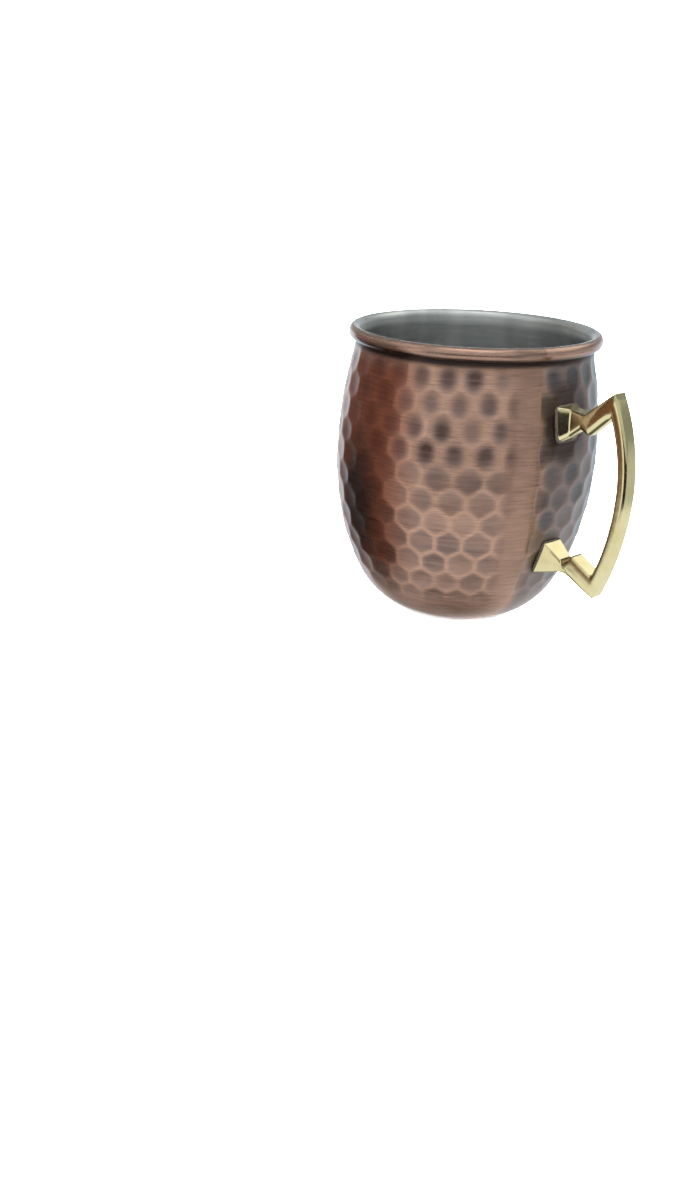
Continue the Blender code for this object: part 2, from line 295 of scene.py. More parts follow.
class Form:
    """The wall's radius, slope and hammering."""

    def __init__(self):
        _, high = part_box("copper_shell")
        self.height = high.z
        self.belly = high.y
        self.neck = self.height - NECK_DROP
        chance = np.random.default_rng(SEED)
        size = (ROWS, CUPS_PER_ROW)
        self.shift_round = chance.normal(0.0, CUP_SHIFT, size)
        self.shift_up = chance.normal(0.0, CUP_SHIFT, size)
        self.depth_share = 1.0 + chance.normal(0.0, CUP_DEPTH_SPREAD, size)
        self.stain_strength = chance.uniform(*STAIN_STRENGTHS, size)

    def radius(self, z):
        rise = np.maximum(z - BELLY_Z, 0.0)
        upper = self.belly - UPPER_WALL_ARC + np.sqrt(UPPER_WALL_ARC**2 - rise**2)
        fall = np.maximum(BELLY_Z - z, 0.0) / LOWER_REACH
        lower = self.belly * (1 - fall**LOWER_FALL) ** (1 / LOWER_TUCK)
        return np.where(z >= BELLY_Z, upper, lower)

    def slope(self, z):
        step = 0.02 * MM
        low = np.maximum(z - step, 0.0)
        return (self.radius(low + 2 * step) - self.radius(low)) / (2 * step)

    def wall_line(self, spacing):
        """(radius, height, normal out, normal up) down the wall, evenly spaced along it."""
        z = np.linspace(self.neck, BASE_BLEND_Z, 4000)
        r = self.radius(z)
        along = np.concatenate([[0.0], np.cumsum(np.hypot(np.diff(r), np.diff(z)))])
        count = int(along[-1] / spacing)
        z = np.interp(np.linspace(0.0, along[-1], count + 1), along, z)
        slope = self.slope(z)
        length = np.sqrt(1.0 + slope**2)
        return np.stack([self.radius(z), z, 1.0 / length, -slope / length], axis=1)

    def hammering(self, angles, heights):
        """(depth, hollow) at every height and angle. hollow is 0 on the crests and about 1 in the cups."""
        theta = np.broadcast_to(angles[None, :], (len(heights), len(angles)))
        z = np.broadcast_to(heights[:, None], theta.shape)
        nearest = np.full(theta.shape, 1.0)
        second = np.full(theta.shape, 1.0)
        total = np.zeros(theta.shape)
        from_centre = np.zeros(theta.shape)
        stain = np.ones(theta.shape)
        pitch = CUP_STEP * self.belly
        bend = (CUP_DEPTH - CREST_DROP) / (pitch / 2) ** 2
        base_row = np.round((TOP_ROW_Z - z) / ROW_PITCH).astype(int)
        for row_step in (-1, 0, 1):
            row = base_row + row_step
            missing = (row < 0) | (row >= ROWS)
            row = np.clip(row, 0, ROWS - 1)
            phase = CUP_PHASE + (row % 2) * CUP_STEP / 2
            column = np.round((theta - phase) / CUP_STEP).astype(int)
            for column_step in (-1, 0, 1):
                cup = column + column_step
                key = (row, cup % CUPS_PER_ROW)
                centre_z = TOP_ROW_Z - row * ROW_PITCH
                across = (theta - phase - cup * CUP_STEP) * self.radius(centre_z) - self.shift_round[key]
                upwards = z - centre_z - self.shift_up[key]
                level = -CUP_DEPTH * self.depth_share[key] + bend * (across**2 + upwards**2)
                level = np.where(missing, NO_CUP, level)
                oval_distance = np.hypot(CORE_SQUEEZE[0] * across, CORE_SQUEEZE[1] * upwards)
                from_centre = np.where(level < nearest, oval_distance, from_centre)
                stain = np.where(level < nearest, self.stain_strength[key], stain)
                second = np.minimum(second, np.maximum(nearest, level))
                nearest = np.minimum(nearest, level)
                total += np.exp(-level / CREST_ROUNDING)
        total += 1.0
        depth = CREST_ROUNDING * np.log(total)
        edge_distance = (np.minimum(second, 0.0) - nearest) / (2 * bend * pitch)
        upper = smoothstep(*CORES_ABOVE, z)
        whole_cup = smoothstep(*STAIN_EDGE, edge_distance)
        core = CORE_STRENGTH * smoothstep(*CORE_EDGE, from_centre)
        hollow = stain * (whole_cup + (core - whole_cup) * upper)
        fade = self.fading(theta, z)
        return depth * fade, hollow * fade

    def fading(self, theta, z):
        """How fully the wall is hammered here: not at the neck or the base, and little beside the seam."""
        turned = (theta + math.pi) % math.tau - math.pi
        smoothed = smoothstep(*BAND_ANGLES, turned) * (turned < SEAM_ANGLE)
        return between(HAMMERED_ABOVE, HAMMERED_BELOW, z) * (1.0 - BAND_SMOOTHING * smoothed)


# --------------------------------------------------------------------------------------------------
# Mesh helpers
# --------------------------------------------------------------------------------------------------


def mesh_piece(name, points, faces):
    mesh = bpy.data.meshes.new(name)
    mesh.from_pydata(points.tolist(), [], faces)
    mesh.validate()
    mesh.shade_smooth()
    piece = bpy.data.objects.new(name, mesh)
    bpy.context.scene.collection.objects.link(piece)
    return piece


def add_attribute(piece, name, values):
    attribute = piece.data.attributes.new(name, "FLOAT", "POINT")
    attribute.data.foreach_set("value", np.asarray(values, np.float32).ravel())


def closed_faces(rows, columns):
    """Quads between neighbouring rings, and a fan at each end round a pole. The two poles come last."""
    row = np.arange(rows - 1)[:, None] * columns
    here = np.arange(columns)[None, :]
    there = (here + 1) % columns
    quads = np.stack([row + here, row + there, row + columns + there, row + columns + here], axis=-1)
    faces = quads.reshape(-1, 4).tolist()
    first_pole = rows * columns
    last_row = first_pole - columns
    for start in range(columns):
        end = (start + 1) % columns
        faces.append((first_pole, end, start))
        faces.append((first_pole + 1, last_row + start, last_row + end))
    return faces


def turned_piece(name, radii, heights, **attributes):
    """A turned solid from rows of radii and heights, closed at both ends by a point on the axis."""
    rows, columns = radii.shape
    angles = np.arange(columns) * math.tau / columns
    ring = np.stack([radii * np.cos(angles), radii * np.sin(angles), heights], axis=-1).reshape(-1, 3)
    points = np.concatenate([ring, [[0.0, 0.0, heights[0, 0]], [0.0, 0.0, heights[-1, 0]]]])
    piece = mesh_piece(name, points, closed_faces(rows, columns))
    for label, values in attributes.items():
        add_attribute(piece, label, np.concatenate([values.ravel(), [0.0, 0.0]]))
    return piece


def bead_oval(half_width, half_height, start, end, count, middle_z):
    """(radii, heights) of points along an oval round the middle of the bead."""
    turn = np.linspace(start, end, count)
    return BEAD_RADIUS + half_width * np.cos(turn), middle_z + half_height * np.sin(turn)


def bead_middle(form):
    return form.height - BEAD_TOP_GAP - BEAD_HALF_HEIGHT


def inset_wall(form, inset):
    """(radii, heights) of a plain wall this far inside the outer form, from the neck down to the base."""
    line = form.wall_line(PLAIN_STEP)
    return line[:, 0] - inset * line[:, 2], np.maximum(line[:, 1] - inset * line[:, 3], inset)


def base_rows(form):
    """The flat base, from near the axis to its edge, then the curve that turns up into the wall."""
    flat = np.linspace(INNERMOST_RADIUS, BASE_FLAT_RADIUS, BASE_RINGS)
    corner = (form.radius(np.array(0.0)).item(), 0.0)
    end = (form.radius(np.array(BASE_BLEND_Z)).item(), BASE_BLEND_Z)
    share = np.linspace(0.0, 1.0, BASE_RINGS)[1:-1]
    blend_r = (1 - share) ** 2 * BASE_FLAT_RADIUS + 2 * share * (1 - share) * corner[0] + share**2 * end[0]
    blend_z = share**2 * end[1]
    return np.concatenate([flat, blend_r]), np.concatenate([np.zeros(len(flat)), blend_z])


def make_copper_shell(form):
    """One sheet: the hammered wall, rolled outwards at the mouth into a bead, and its plain inner face."""
    angles = np.arange(SHELL_COLUMNS) * math.tau / SHELL_COLUMNS
    line = form.wall_line(SHELL_STEP)[::-1]
    depth, hollow = form.hammering(angles, line[:, 1])
    wall_r = line[:, 0:1] - depth * line[:, 2:3]
    wall_z = line[:, 1:2] - depth * line[:, 3:4]
    base_r, base_z = base_rows(form)
    after_r, after_z = rolled_bead_and_back(form)
    across = np.ones((1, SHELL_COLUMNS))
    radii = np.concatenate([base_r[:, None] * across, wall_r, after_r[:, None] * across])
    heights = np.concatenate([base_z[:, None] * across, wall_z, after_z[:, None] * across])
    after_wall = len(base_r) + len(line)
    in_wall = np.zeros(radii.shape)
    in_wall[len(base_r) : after_wall] = hollow
    red, soot, grey = stains_and_painted_light(angles, radii, heights, form)
    # Painted shade under the bead.
    under_bead = bead_soot(after_r, after_z, bead_middle(form))
    soot[after_wall:] = np.maximum(soot[after_wall:], under_bead[:, None])
    piece = turned_piece("hammered_copper", radii, heights, hollow=in_wall, soot=soot, grey=grey, red=red)
    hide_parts("copper_shell")
    return piece


def rolled_bead_and_back(form):
    """(radii, heights) from the neck round the bead, inside then outside, and down the inner face."""
    middle_z = bead_middle(form)
    inside = (BEAD_HALF_WIDTH - BEAD_SHEET, BEAD_HALF_HEIGHT - BEAD_SHEET)
    roll_in_r, roll_in_z = bead_oval(*inside, BEAD_ROOT, BEAD_END, 11, middle_z)
    roll_out_r, roll_out_z = bead_oval(BEAD_HALF_WIDTH, BEAD_HALF_HEIGHT, BEAD_END, BEAD_ROOT, 24, middle_z)
    back_r, back_z = inset_wall(form, COPPER_THICKNESS)
    radii = np.concatenate([roll_in_r, roll_out_r, back_r, [BASE_FLAT_RADIUS, POLE_RADIUS]])
    heights = np.concatenate([roll_in_z, roll_out_z, back_z, np.full(2, COPPER_THICKNESS)])
    return radii, heights


def stains_and_painted_light(angles, radii, heights, form):
    """(painted red reflection, soot and painted shade, grey) at every point of the shell, each 0 to 1, but for
    the painted shade under the bead. The grey is a painted reflection round the handle and a grey tint on the
    bead.
    """
    turned = np.broadcast_to((angles + math.pi) % math.tau - math.pi, radii.shape)
    degrees = np.degrees(turned)
    below = heights < form.neck
    # Painted red reflection on the left of the wall, below the neck.
    red = between(*RED_REFLECTION_ANGLES, degrees) * between(*RED_REFLECTION_HEIGHTS, heights) * below
    # Grey: a painted reflection round the handle below the neck, and a grey tint over the bead.
    grey = np.where(below, between(*GREY_REFLECTION_ANGLES, degrees), BEAD_GREY)
    across = turned * radii
    # Painted dark reflections of the two feet.
    soot = soot_spot(across, heights, UPPER_FOOT_REFLECTION) + soot_spot(across, heights, LOWER_FOOT_REFLECTION)
    band = smoothstep(*BAND_SOOT_ANGLES, degrees) * (turned < SEAM_ANGLE)
    soot = np.maximum(soot, BAND_SOOT * band * smoothstep(*BAND_SOOT_HEIGHTS, heights))
    # A darker line along the seam.
    seam = smoothstep(*SEAM_LINE_EDGE, np.abs(degrees - SEAM_LINE)) * below
    soot = np.maximum(soot, SEAM_DARKENING * seam * smoothstep(*SEAM_DARKENING_HEIGHTS, heights))
    # A painted shadow: one dark oval patch on the left of the wall.
    across_patch = (degrees - PATCH_PLACE[0]) / PATCH_SIZE[0]
    up_patch = (heights - PATCH_PLACE[1]) / PATCH_SIZE[1]
    soot = np.maximum(soot, PAINTED_SHADOW * smoothstep(*PATCH_EDGE, np.hypot(across_patch, up_patch)))
    # Painted shade in the crease under the bead.
    crease = smoothstep(form.neck - CREASE_SHADE_DROPS[0], form.neck - CREASE_SHADE_DROPS[1], heights)
    return red, np.maximum(soot, crease * (heights < form.neck + CREASE_SHADE_TOP)), grey


# A painted dark reflection of one foot: full within its inner reach, none past its outer reach.
def soot_spot(across, heights, spot):
    height, squeeze, outer, inner, strength = spot
    return strength * smoothstep(outer, inner, np.hypot(across, (heights - height) * squeeze))


def bead_soot(radii, heights, middle_z):
    """Painted shade under the bead: full at its underside, none by its middle."""
    outside = radii > BEAD_RADIUS - BEAD_OUTSIDE
    return smoothstep(middle_z - BEAD_SHADE_DROPS[0], middle_z - BEAD_SHADE_DROPS[1], heights) * outside


def make_steel_liner(form):
    """The inner cup, with the hammering showing faintly through, and a lip that folds out over the bead."""
    angles = np.arange(LINER_COLUMNS) * math.tau / LINER_COLUMNS
    line = form.wall_line(LINER_STEP)
    depth, _ = form.hammering(angles, line[:, 1])
    inset = LINER_INSIDE + LINER_CUP_SHARE * depth
    wall = line[:, 1] > LINER_WALL_END
    wall_r = (line[:, 0:1] - inset * line[:, 2:3])[wall]
    wall_z = (line[:, 1:2] - inset * line[:, 3:4])[wall]
    floor_r = wall_r[-1].mean() * np.array(LINER_FLOOR_SHARES)
    floor_z = wall_z[-1].mean() - LINER_FLOOR_DROP - np.array(LINER_FLOOR_DROPS)
    before_r, before_z = liner_back_and_lip(form, wall_r[0].mean())
    across = np.ones((1, LINER_COLUMNS))
    radii = np.concatenate([before_r[:, None] * across, wall_r, floor_r[:, None] * across])
    heights = np.concatenate([before_z[:, None] * across, wall_z, floor_z[:, None] * across])
    # Painted shade on the liner's sides, on its wall and floor only.
    from_unshaded = np.abs((angles - LINER_UNSHADED_ANGLE + math.pi) % math.tau - math.pi)
    dull = np.broadcast_to(smoothstep(*LINER_SHADE_ANGLES, from_unshaded), radii.shape)
    dull = dull * (np.arange(len(radii)) >= len(before_r))[:, None]
    piece = turned_piece("brushed_liner", radii, heights, dull=dull)
    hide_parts("steel_liner")
    return piece


def liner_back_and_lip(form, neck_radius):
    """(radii, heights) from the liner's underside up its outer face, and out and back over the bead."""
    back_r, back_z = inset_wall(form, LINER_OUTSIDE)
    middle_z = bead_middle(form)
    under = (BEAD_HALF_WIDTH + LIP_GAP, BEAD_HALF_HEIGHT + LIP_GAP)
    over = (BEAD_HALF_WIDTH + LIP_DEPTH, BEAD_HALF_HEIGHT + LIP_HEIGHT)
    under_r, under_z = bead_oval(*under, LIP_ROOT, LIP_END, 8, middle_z)
    over_r, over_z = bead_oval(*over, LIP_END, LIP_ROOT, 12, middle_z)
    foot_z = form.height - LIP_FOOT_DROP
    underside_z = np.full(2, LINER_OUTSIDE + LIP_GAP)
    foot_r = neck_radius + LIP_GAP
    radii = np.concatenate([[POLE_RADIUS, BASE_FLAT_RADIUS], back_r[::-1], under_r, over_r, [foot_r]])
    heights = np.concatenate([underside_z, back_z[::-1], under_z, over_z, [foot_z]])
    return radii, heights


# --------------------------------------------------------------------------------------------------
# The handle
# --------------------------------------------------------------------------------------------------


def straight(start, end, shares):
    """Points at these shares of the way from start to end."""
    return start + (end - start) * np.asarray(shares)[:, None]


def corner_curve(start, corner, end):
    """Points between the two ends of a rounded corner."""
    share = np.linspace(0.0, 1.0, CORNER_POINTS)[1:-1, None]
    return (1 - share) ** 2 * start + 2 * share * (1 - share) * corner + share**2 * end


def bow_points(start_z, end_z, crown, arcs):
    """Points along one side of the grip: an arc above its crown and another below it."""
    z = np.linspace(start_z, end_z, GRIP_POINTS)
    arc = np.where(z > crown[1], arcs[0], arcs[1])
    return np.stack([crown[0] - arc + np.sqrt(arc**2 - (z - crown[1]) ** 2), z], axis=1)


def rail(knots, trims, crown, arcs):
    """One side of the bar: straight runs and a bow between these knots, with a rounded corner at each."""
    shares = (FOOT_SHARES, STEP_SHARES, ARM_SHARES)
    runs = []
    for i in range(len(knots) - 1):
        start, end = np.array(knots[i]), np.array(knots[i + 1])
        along = (end - start) / np.linalg.norm(end - start)
        start, end = start + along * trims[i] * MM, end - along * trims[i + 1] * MM
        if i < GRIP_RUN:
            runs.append(straight(start, end, shares[i]))
        elif i == GRIP_RUN:
            runs.append(bow_points(start[1], end[1], crown, arcs))
        else:
            runs.append(straight(end, start, shares[len(knots) - 2 - i])[::-1])
    line = [runs[0]]
    for i in range(1, len(runs)):
        line.append(corner_curve(runs[i - 1][-1], np.array(knots[i]), runs[i][0]))
        line.append(runs[i])
    return np.concatenate(line)


def handle_rails():
    """The bar's outer rail and the one on the fingers' side, with as many points each."""
    inner_crown = (GRIP_CROWN[0] - GRIP_DEPTH, GRIP_CROWN[1])
    upper_mid = straight(np.array(UPPER_WAIST[0]), np.array(UPPER_TIP), [ARM_STEP_SHARE])[0]
    lower_mid = straight(np.array(LOWER_WAIST[0]), np.array(LOWER_TIP), [ARM_STEP_SHARE])[0]
    outer_knots = [UPPER_FOOT[0], UPPER_WAIST[0], upper_mid, UPPER_TIP]
    outer_knots += [LOWER_TIP, lower_mid, LOWER_WAIST[0], LOWER_FOOT[0]]
    inner_knots = [UPPER_FOOT[1], UPPER_WAIST[1], UPPER_HEEL, UPPER_CROTCH]
    inner_knots += [LOWER_CROTCH, LOWER_HEEL, LOWER_WAIST[1], LOWER_FOOT[1]]
    outer = rail(outer_knots, OUTER_TRIMS, GRIP_CROWN, OUTER_BOW_ARCS)
    inner = rail(inner_knots, INNER_TRIMS, inner_crown, INNER_BOW_ARCS)
    return outer, inner


def flare_half_widths(out, z):
    """The bar's half widths at its outer face and at the fingers' side, this far out from the wall."""
    high = (z > BELLY_Z)[:, None]
    feet = np.where(high, UPPER_FOOT_HALF_WIDTHS, LOWER_FOOT_HALF_WIDTHS)
    reach = np.where(high, UPPER_FLARE_REACH, LOWER_FLARE_REACH)
    share = np.clip(1.0 - out[:, None] / reach, 0.0, 1.0)
    return BAR_HALF_WIDTH + (feet - BAR_HALF_WIDTH) * share


def section(length, half_widths, roundings, stretch):
    """Points (along the section, across the bar) once round it, starting at the middle of the outer face.

    stretch lengthens the roundings where the section crosses the bar at a slant.
    """
    turn = np.linspace(0.0, math.pi / 2, ARC_POINTS)
    outer = roundings[0] * stretch
    inner = roundings[1] * stretch
    near = outer * (1 - np.cos(turn))
    far = (length - inner * (1 - np.cos(turn)))[::-1]
    middle = np.linspace(outer, length - inner, SIDE_POINTS)[1:-1]
    along = np.concatenate([near, middle, far])
    rise = 1 - np.sin(turn)
    fillet = np.concatenate([roundings[0] * rise, np.zeros(len(middle)), roundings[1] * rise[::-1]])
    straight_side = half_widths[0] + (half_widths[1] - half_widths[0]) * along / length
    crown = SIDE_CROWN * min(length, CROWNED_LENGTH) * (2 * along / length - 1) ** 2
    across = straight_side - crown - fillet
    face = np.linspace(0.0, 1.0, FACE_POINTS)[:-1]
    half = [np.stack([np.zeros(len(face)), face * across[0]], axis=1)]
    half.append(np.stack([along, across], axis=1))
    half.append(np.stack([np.full(len(face), length), face[::-1] * across[-1]], axis=1))
    half = np.concatenate(half)
    return np.concatenate([half, (half * (1, -1))[-2:0:-1]])


def rail_directions(line):
    """The direction of travel at each point of a line."""
    ahead = np.gradient(line, axis=0)
    return ahead / np.maximum(np.linalg.norm(ahead, axis=1, keepdims=True), 1e-9)


def make_handle(form):
    """The handle, from sections between its outer and inner rails. Near the wall they wrap round it."""
    outer, inner = handle_rails()
    middle = (outer + inner) / 2
    chord = inner - outer
    lengths = np.linalg.norm(chord, axis=1)
    chord /= lengths[:, None]
    ahead = rail_directions(middle)
    crossing = np.abs(chord[:, 0] * ahead[:, 1] - chord[:, 1] * ahead[:, 0])
    stretch = 1.0 / np.maximum(crossing, STEEPEST_CROSSING)
    out = (middle[:, 0] - form.radius(middle[:, 1])) / np.sqrt(1 + form.slope(middle[:, 1]) ** 2)
    half_widths = flare_half_widths(out, middle[:, 1])
    on_grip = smoothstep(*GRIP_BEGINS, middle[:, 0])[:, None]
    roundings = np.where((middle[:, 1] > BELLY_Z)[:, None], UPPER_ROUNDINGS, LOWER_ROUNDINGS)
    roundings = roundings + (GRIP_ROUNDINGS - roundings) * on_grip
    rings = []
    for i in range(len(outer)):
        loop = section(lengths[i], half_widths[i], roundings[i], stretch[i])
        ring = outer[i] + loop[:, 0:1] * chord[i]
        wrap = loop[:, 1] ** 2 / (2 * middle[i, 0]) * max(0.0, 1 - out[i] / WRAP_REACH)
        rings.append(np.stack([ring[:, 0] - wrap, loop[:, 1], ring[:, 1]], axis=1))
    piece = loft("cast_handle", np.array(rings))
    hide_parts("brass_handle")
    return piece


def loft(name, rings):
    """A solid through these rings of points, closed at both ends."""
    stations, size, _ = rings.shape
    points = np.concatenate([rings.reshape(-1, 3), [rings[0].mean(axis=0), rings[-1].mean(axis=0)]])
    piece = mesh_piece(name, points, closed_faces(stations, size))
    turn_outwards(piece)
    return piece


def turn_outwards(piece):
    """Turns the faces round if they point inwards, which the signed volume shows."""
    solid = bmesh.new()
    solid.from_mesh(piece.data)
    if solid.calc_volume(signed=True) < 0:
        bmesh.ops.reverse_faces(solid, faces=solid.faces)
    solid.to_mesh(piece.data)
    solid.free()


# --------------------------------------------------------------------------------------------------
# The brazed seams
# --------------------------------------------------------------------------------------------------


def make_braze_seam(form, name, foot, half_widths, node):
    """The line of filler round one foot: a thin pad on the wall that shows past the foot's edge. Its near-black
    colour is painted shade at the edge.
    """
    (_, outer_z), (_, inner_z) = foot
    turn = np.arange(SEAM_POINTS) * math.tau / SEAM_POINTS
    across_share = np.sign(np.cos(turn)) * np.abs(np.cos(turn)) ** SEAM_SQUARENESS
    up_share = np.sign(np.sin(turn)) * np.abs(np.sin(turn)) ** SEAM_SQUARENESS
    rings = []
    for out, spread in SEAM_RINGS:
        half_height = abs(outer_z - inner_z) / 2 + spread
        z = (outer_z + inner_z) / 2 + up_share * half_height
        half_width = np.interp(up_share * np.sign(outer_z - inner_z), (-1, 1), half_widths[::-1])
        y = across_share * (half_width + spread)
        slope = form.slope(z)
        radius = form.radius(z) + out / np.sqrt(1 + slope**2)
        angle = y / radius
        height = z - out * slope / np.sqrt(1 + slope**2)
        rings.append(np.stack([radius * np.cos(angle), radius * np.sin(angle), height], axis=1))
    piece = loft(name, np.array(rings))
    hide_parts(node)
    return piece


# --------------------------------------------------------------------------------------------------
# Materials
# --------------------------------------------------------------------------------------------------


class Nodes:
    """Short ways to add and join the nodes of one tree."""

    def __init__(self, tree):
        self.tree = tree

    def put(self, socket, value):
        if isinstance(value, bpy.types.NodeSocket):
            self.tree.links.new(value, socket)
        else:
            socket.default_value = value

    def node(self, kind, inputs=(), output=0, **settings):
        made = self.tree.nodes.new("ShaderNode" + kind)
        for name, value in settings.items():
            setattr(made, name, value)
        for key, value in dict(inputs).items():
            self.put(made.inputs[key], value)
        return made.outputs[output]

    def attribute(self, name):
        return self.node("Attribute", output=2, attribute_name=name)

    def object_place(self):
        return self.node("TexCoord", output="Object")

    def height(self):
        return self.node("SeparateXYZ", {0: self.object_place()}, output="Z")

    def stretched(self, round_scale, up_scale):
        """Object coordinates for a pattern that is stretched round the mug."""
        where = self.object_place()
        return self.node("Mapping", {0: where, 3: (round_scale, round_scale, up_scale)})

    def noise(self, vector, scale=1.0, detail=2.0, roughness=0.5):
        inputs = {"Vector": vector, "Scale": scale, "Detail": detail, "Roughness": roughness}
        return self.node("TexNoise", inputs)

    def spread(self, value, low, high, to_low=0.0, to_high=1.0):
        inputs = {0: value, 1: low, 2: high, 3: to_low, 4: to_high}
        return self.node("MapRange", inputs)

    def smoothstep(self, value, low, high):
        return self.node("MapRange", {0: value, 1: low, 2: high}, interpolation_type="SMOOTHSTEP")

    def band(self, value, low, high, soft):
        """1 between low and high, in degrees, with soft ends. The value is in radians."""
        rise = self.smoothstep(value, math.radians(low - soft), math.radians(low + soft))
        fall = self.smoothstep(value, math.radians(high + soft), math.radians(high - soft))
        return self.math("MULTIPLY", rise, fall)

    def mix(self, share, first, second, blend="MIX"):
        inputs = {0: share, 6: first, 7: second}
        return self.node("Mix", inputs, output=2, data_type="RGBA", blend_type=blend)

    def math(self, operation, first, second=0.0):
        return self.node("Math", {0: first, 1: second}, operation=operation)

    def bump(self, height, strength, distance):
        inputs = {"Height": height, "Strength": strength, "Distance": distance}
        return self.node("Bump", inputs)


class MaterialNodes(Nodes):
    """The nodes of a new material."""

    def __init__(self, name):
        self.material = bpy.data.materials.new(name)
        self.material.use_nodes = True
        super().__init__(self.material.node_tree)
        self.shader = self.tree.nodes["Principled BSDF"]

    def set(self, **values):
        for name, value in values.items():
            self.put(self.shader.inputs[name.replace("_", " ")], value)


def colour(red, green, blue):
    return (red, green, blue, 1.0)


def antique_copper():
    """Dark patina in the cups, brighter metal where the crests were rubbed, and fine lines from brushing."""
    nodes = MaterialNodes("antique_copper")
    streaks = nodes.noise(nodes.stretched(130.0, 2900.0), detail=3.0, roughness=0.65)
    broad_streaks = nodes.noise(nodes.stretched(45.0, 700.0), detail=2.0)
    rough = nodes.spread(streaks, 0.3, 0.7, 0.33, 0.43)
    smoother_bead = nodes.spread(nodes.height(), 0.0945, 0.0952, 1.0, 0.65)
    stain = copper_stain(nodes, streaks, broad_streaks)
    nodes.set(
        Base_Color=copper_colour(nodes, stain, streaks, broad_streaks),
        Metallic=1.0,
        Roughness=nodes.math("MULTIPLY", rough, smoother_bead),
        Anisotropic=0.5,
        Anisotropic_Rotation=0.25,
        Coat_Weight=0.4,
        Coat_Roughness=0.25,
        Normal=nodes.bump(streaks, 0.25, 0.00004),
        Tangent=nodes.node("Tangent", direction_type="RADIAL", axis="Z"),
    )
    return nodes.material


def copper_stain(nodes, streaks, broad_streaks):
    """How stained the copper is: most in the cups, less under the painted red reflection, broken up by clouds
    and streaks.
    """
    clouds = nodes.noise(nodes.stretched(60.0, 60.0), detail=3.0)
    uneven = nodes.spread(broad_streaks, 0.25, 0.75, 0.7, 1.1)
    stain = nodes.math("MULTIPLY", nodes.attribute("hollow"), uneven)
    # Less stain under the painted red reflection.
    stain = nodes.math("MULTIPLY", stain, nodes.spread(nodes.attribute("red"), 0.0, 1.0, 1.0, 0.55))
    stain = nodes.math("MULTIPLY", stain, nodes.spread(clouds, 0.3, 0.7, 0.65, 1.15))
    return nodes.math("ADD", stain, nodes.spread(streaks, 0.42, 0.72, -0.12, 0.25))


def copper_colour(nodes, stain, streaks, broad_streaks):
    """Copper from bright to stained, then its grey and the painted red reflection, the soot with its painted
    shade, and the streaks over it all.
    """
    deep = nodes.spread(stain, 1.0, 1.8)
    stain = nodes.spread(stain, 0.0, 1.0)
    base = nodes.mix(stain, colour(0.47, 0.29, 0.212), colour(0.205, 0.14, 0.118))
    base = nodes.mix(deep, base, colour(0.085, 0.05, 0.04))
    # Greyer copper: a painted reflection round the handle, and the bead's grey tint.
    grey = nodes.mix(stain, colour(0.19, 0.142, 0.13), colour(0.07, 0.07, 0.071))
    base = nodes.mix(nodes.attribute("grey"), base, grey)
    # Painted red reflection on the left.
    red = nodes.mix(stain, colour(0.27, 0.092, 0.05), colour(0.16, 0.05, 0.03))
    base = nodes.mix(nodes.attribute("red"), base, red)
    uneven = nodes.spread(broad_streaks, 0.25, 0.75, 0.9, 1.15)
    # Soot and painted shade: real soot and stains, plus painted shade under the bead, a painted shadow and
    # painted reflections of the feet, all mixed to near black.
    soot = nodes.math("MULTIPLY", nodes.attribute("soot"), uneven)
    base = nodes.mix(nodes.spread(soot, 0.0, 1.0), base, colour(0.035, 0.02, 0.016))
    tone = nodes.spread(streaks, 0.32, 0.68, 0.7, 1.22)
    return nodes.mix(1.0, base, nodes.node("CombineColor", {0: tone, 1: tone, 2: tone}), "MULTIPLY")


def brushed_steel():
    """Steel with fine lines round it, faint upright facets, and painted shade on its sides."""
    nodes = MaterialNodes("brushed_steel")
    streaks = nodes.noise(nodes.stretched(60.0, 2600.0), detail=2.0)
    facets = nodes.noise(nodes.stretched(120.0, 9.0), detail=1.0)
    base = nodes.mix(nodes.spread(streaks, 0.3, 0.7), colour(0.44, 0.46, 0.45), colour(0.49, 0.51, 0.50))
    base = nodes.mix(nodes.spread(facets, 0.38, 0.62, 0.0, 0.45), base, colour(0.27, 0.29, 0.285))
    # Painted shade on the liner's sides.
    dullness = nodes.math("MULTIPLY", nodes.attribute("dull"), 0.85)
    base = nodes.mix(dullness, base, colour(0.15, 0.165, 0.165))
    nodes.set(
        Base_Color=base,
        Metallic=1.0,
        Roughness=nodes.spread(streaks, 0.3, 0.7, 0.3, 0.36),
        Anisotropic=0.45,
        Anisotropic_Rotation=0.25,
        Normal=nodes.bump(streaks, 0.05, 0.00003),
        Tangent=nodes.node("Tangent", direction_type="RADIAL", axis="Z"),
    )
    return nodes.material


def polished_brass():
    """Cast brass, polished by hand: slow ripples, and fine scuffs that vary the gloss."""
    nodes = MaterialNodes("polished_brass")
    where = nodes.object_place()
    ripple = nodes.noise(where, scale=160.0, detail=2.0)
    scuffs = nodes.noise(where, scale=1400.0, detail=3.0, roughness=0.6)
    base = nodes.mix(nodes.spread(ripple, 0.35, 0.7), colour(0.77, 0.71, 0.42), colour(0.70, 0.63, 0.345))
    nodes.set(
        Base_Color=base,
        Metallic=1.0,
        Roughness=nodes.spread(scuffs, 0.35, 0.75, 0.07, 0.14),
        Normal=nodes.bump(ripple, 0.12, 0.0004),
    )
    return nodes.material


def braze_filler():
    """Real filler, grainy and matte, made near black as painted shade at each foot's edge."""
    nodes = MaterialNodes("braze_filler")
    grain = nodes.noise(nodes.object_place(), scale=2200.0, detail=3.0)
    # Near black: painted shade at the foot's edge, over the filler's own grain.
    base = nodes.mix(nodes.spread(grain, 0.3, 0.7), colour(0.012, 0.009, 0.007), colour(0.05, 0.035, 0.022))
    nodes.set(Base_Color=base, Metallic=0.4, Roughness=0.6, Normal=nodes.bump(grain, 0.5, 0.0001))
    return nodes.material


